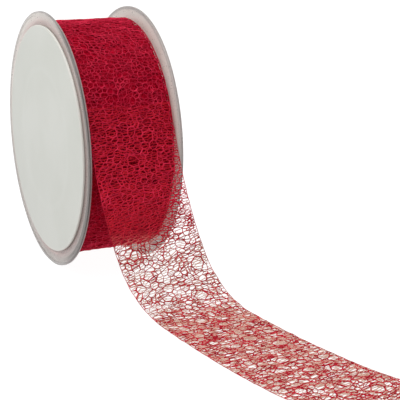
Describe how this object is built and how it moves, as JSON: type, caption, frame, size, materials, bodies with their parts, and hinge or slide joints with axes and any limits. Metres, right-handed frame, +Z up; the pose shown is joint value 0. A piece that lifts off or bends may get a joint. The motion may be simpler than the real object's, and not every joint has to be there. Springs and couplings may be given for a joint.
{
  "type": "roll of honeycomb net ribbon on a plastic reel",
  "caption": "Roll of open honeycomb net ribbon on a flanged clear plastic reel, with its loose end dropping from the front and running along the surface.",
  "frame": {"origin": "on the surface that the part stands on, under the middle of its bounding box", "axes": "+Z up, the reel's axis along X with its blank face on the -X side, and the loose end running towards -Y"},
  "size_m": [0.077, 0.2834, 0.1199],
  "materials": {
    "clear_plastic": "clear moulded plastic, faintly frosted, scuffed at the rims",
    "face_card": "matt pale card, blank",
    "ribbon_red": "stiff open net of fine red strands with a slight sheen"
  },
  "bodies": {
    "root": {"near_flange": "clear_plastic", "far_flange": "clear_plastic", "reel_hub": "clear_plastic", "face_disc": "face_card", "ribbon_roll": "ribbon_red", "ribbon_tail": "ribbon_red"}
  },
  "joints": []
}
